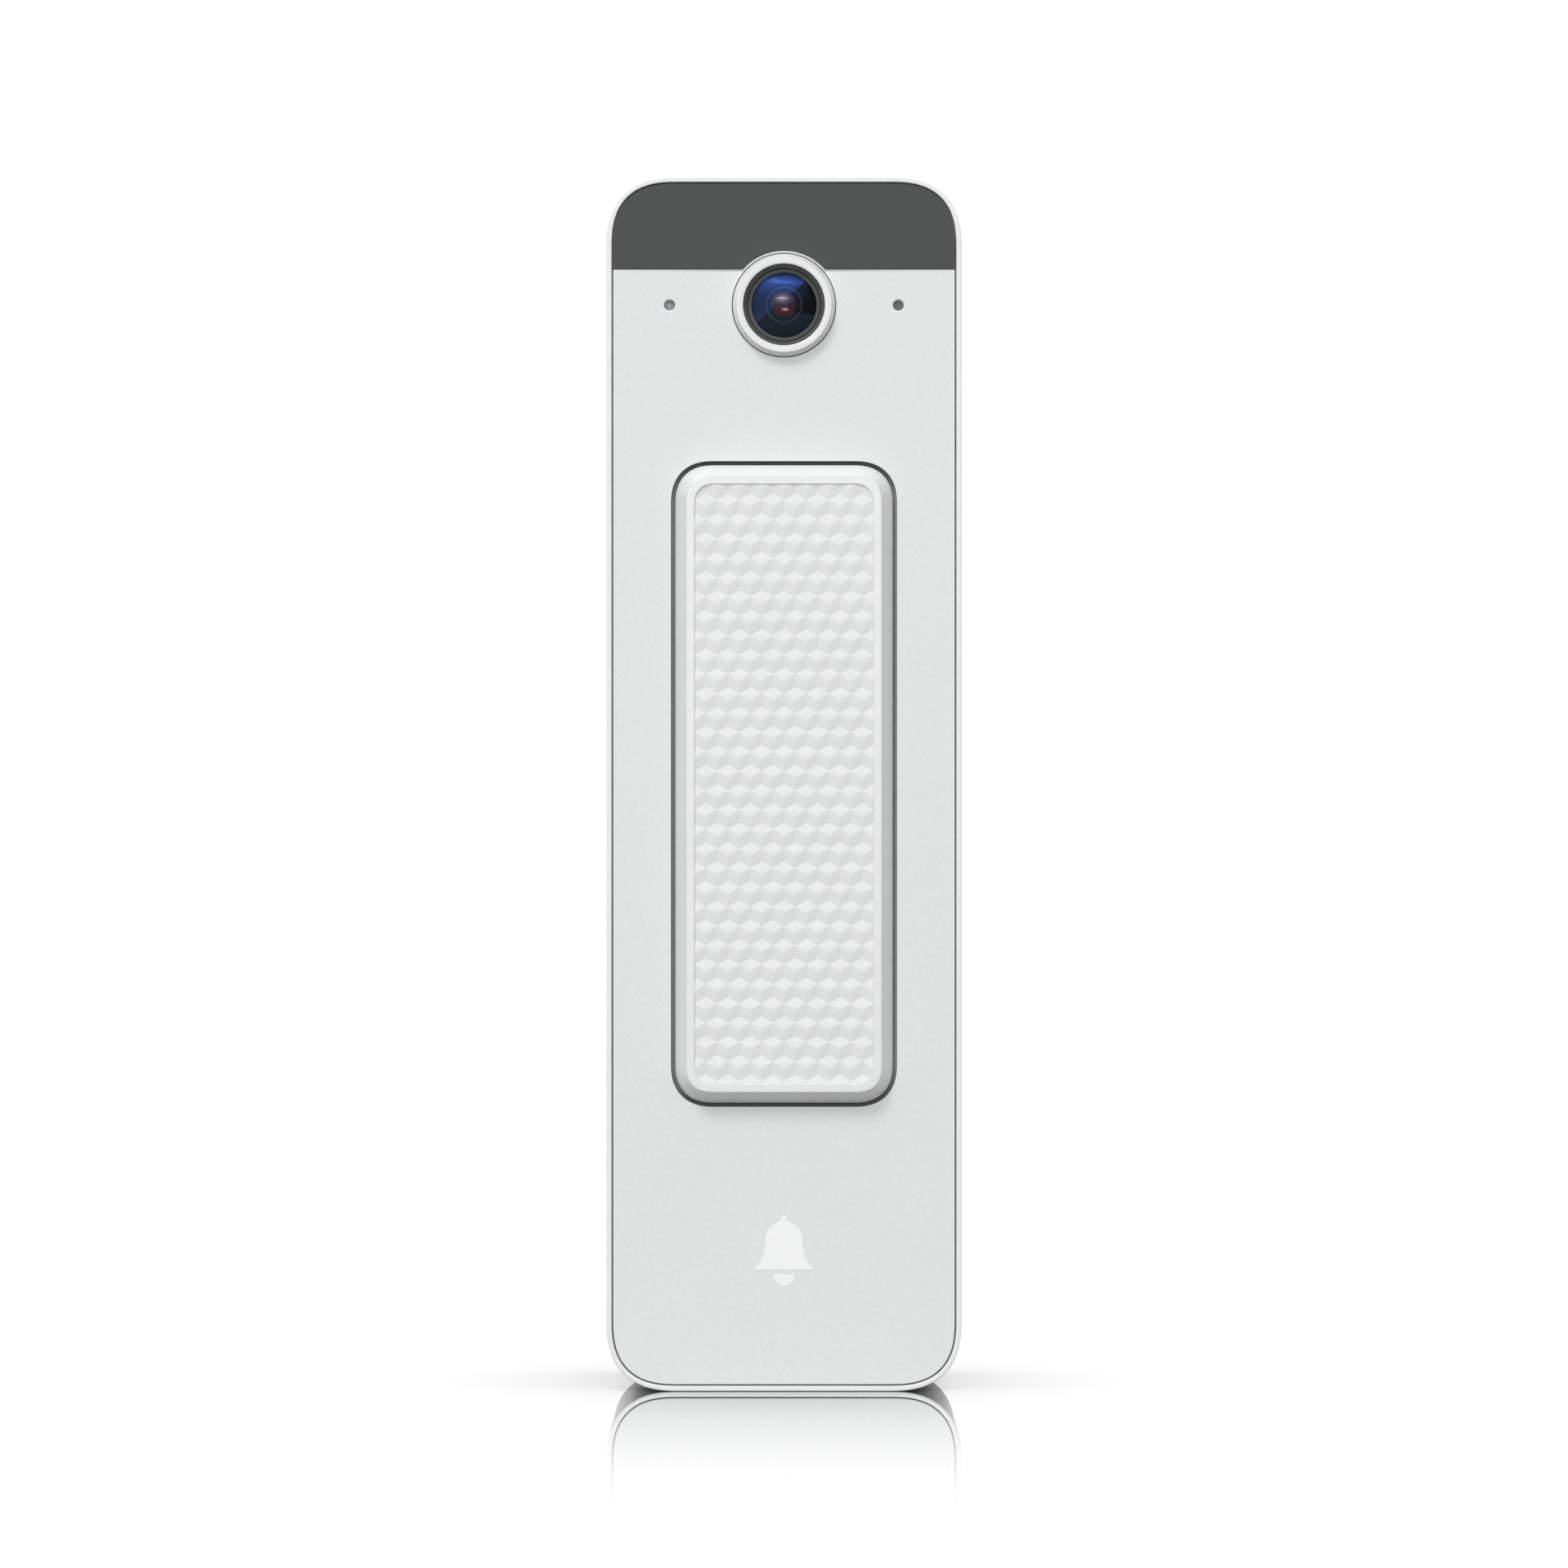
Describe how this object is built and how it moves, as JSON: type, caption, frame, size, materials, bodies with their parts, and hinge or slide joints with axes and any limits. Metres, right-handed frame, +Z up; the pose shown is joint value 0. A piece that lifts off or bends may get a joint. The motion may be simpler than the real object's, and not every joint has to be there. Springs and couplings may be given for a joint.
{
  "type": "video doorbell",
  "caption": "Slim wired video doorbell: soft-cornered body with camera, infrared window, long textured push button and rear wall bracket.",
  "frame": {"origin": "middle of the wall bracket's rear face, on the wall plane, centred across and up the body", "axes": "+Z up the body, +X to the right as seen by the visitor, +Y into the wall; the front faces -Y"},
  "size_m": [0.044, 0.0281, 0.1504],
  "materials": {
    "housing_white": "fine satin moulded",
    "panel_light_grey": "very fine matt grain",
    "mark_white": "glossy inlay",
    "window_smoke": "matt dark infrared-clear",
    "bezel_white": "satin",
    "barrel_black": "matt stepped",
    "lens_glass": "coated, blue reflection",
    "filter_glass": "polished",
    "black_plastic": "matt moulded",
    "black_rubber": "matt",
    "grey_foam": "closed-cell foam",
    "button_white": "satin",
    "button_milk": "moulded low relief, milky",
    "clear_acrylic": "clear",
    "silicone": "soft",
    "switch_brown": "moulded",
    "circuit_board": "solder mask",
    "component_black": "matt package",
    "lamp_resin": "clear resin",
    "ribbon_film": "polyimide film",
    "steel": "passivated",
    "tin_plate": "tin plated",
    "brass": "turned",
    "gold_contact": "gold plated",
    "aluminium": "plain",
    "copper_coil": "enamelled wire",
    "bracket_paint": "powder coat",
    "speaker_film": "thin film",
    "mesh_black": "woven acoustic mesh",
    "lead_red": "insulated wire"
  },
  "bodies": {
    "housing": {"rear_housing": "housing_white", "front_panel": "panel_light_grey", "panel_mark": "mark_white", "ir_window": "window_smoke", "lens_bezel": "bezel_white", "lens_barrel": "barrel_black", "lens_retainer": "barrel_black", "lens_holder": "barrel_black", "front_lens": "lens_glass", "inner_lenses": "lens_glass", "inner_chassis": "black_plastic", "aperture_stop": "black_plastic", "switch_bodies": "black_plastic", "jack_insert": "black_plastic", "speaker_frame": "black_plastic", "reset_switch": "black_plastic", "light_baffle": "black_rubber", "mic_boot": "black_rubber", "cable_gasket": "grey_foam", "panel_gasket": "grey_foam", "light_pipe": "clear_acrylic", "thermal_pads": "silicone", "main_board": "circuit_board", "button_board": "circuit_board", "upper_board": "circuit_board", "sensor_board": "circuit_board", "processor": "component_black", "power_transformer": "component_black", "power_capacitors": "component_black", "image_sensor": "component_black", "infrared_leds": "lamp_resin", "button_leds": "lamp_resin", "light_sensor": "lamp_resin", "board_ribbons": "ribbon_film", "camera_ribbon": "ribbon_film", "security_screw": "steel", "chassis_screws": "steel", "board_screws": "steel", "speaker_magnet": "steel", "processor_shield": "tin_plate", "jack_shield": "tin_plate", "microphone": "tin_plate", "housing_inserts": "brass", "jack_contacts": "gold_contact", "heat_spreader": "aluminium", "filter_motor": "copper_coil", "wall_bracket": "bracket_paint", "speaker_mesh": "mesh_black", "mic_vent": "mesh_black", "speaker_leads": "lead_red"},
    "button": {"button_frame": "button_white", "button_lens": "button_milk", "light_guide": "clear_acrylic", "button_carrier": "black_plastic", "actuator_pads": "silicone"},
    "switch_plungers": {"switch_stems": "switch_brown"},
    "filter_slide": {"filter_carriage": "black_plastic", "filter_glasses": "filter_glass"},
    "reset_pin": {"reset_plunger": "black_plastic"},
    "speaker_diaphragm": {"speaker_cone": "speaker_film"}
  },
  "joints": [
    {"name": "button_press", "type": "slide", "parent": "housing", "child": "button", "axis": [0, 1, 0], "range_m": [0, 0.0006], "stiffness_N_per_m": 1500, "springref_m": -0.0005},
    {"name": "switch_press", "type": "slide", "parent": "housing", "child": "switch_plungers", "axis": [0, 1, 0], "range_m": [0, 0.0006]},
    {"name": "filter_shift", "type": "slide", "parent": "housing", "child": "filter_slide", "axis": [1, 0, 0], "range_m": [0, 0.005]},
    {"name": "reset_press", "type": "slide", "parent": "housing", "child": "reset_pin", "axis": [0, -1, 0], "range_m": [0, 0.0003], "stiffness_N_per_m": 1500, "springref_m": -0.0003},
    {"name": "cone_stroke", "type": "slide", "parent": "housing", "child": "speaker_diaphragm", "axis": [0, 0, -1], "range_m": [-0.0002, 0.0002], "stiffness_N_per_m": 800}
  ],
  "couplings": [
    {"joint": "switch_press", "follows": "button_press", "ratio": 1}
  ]
}
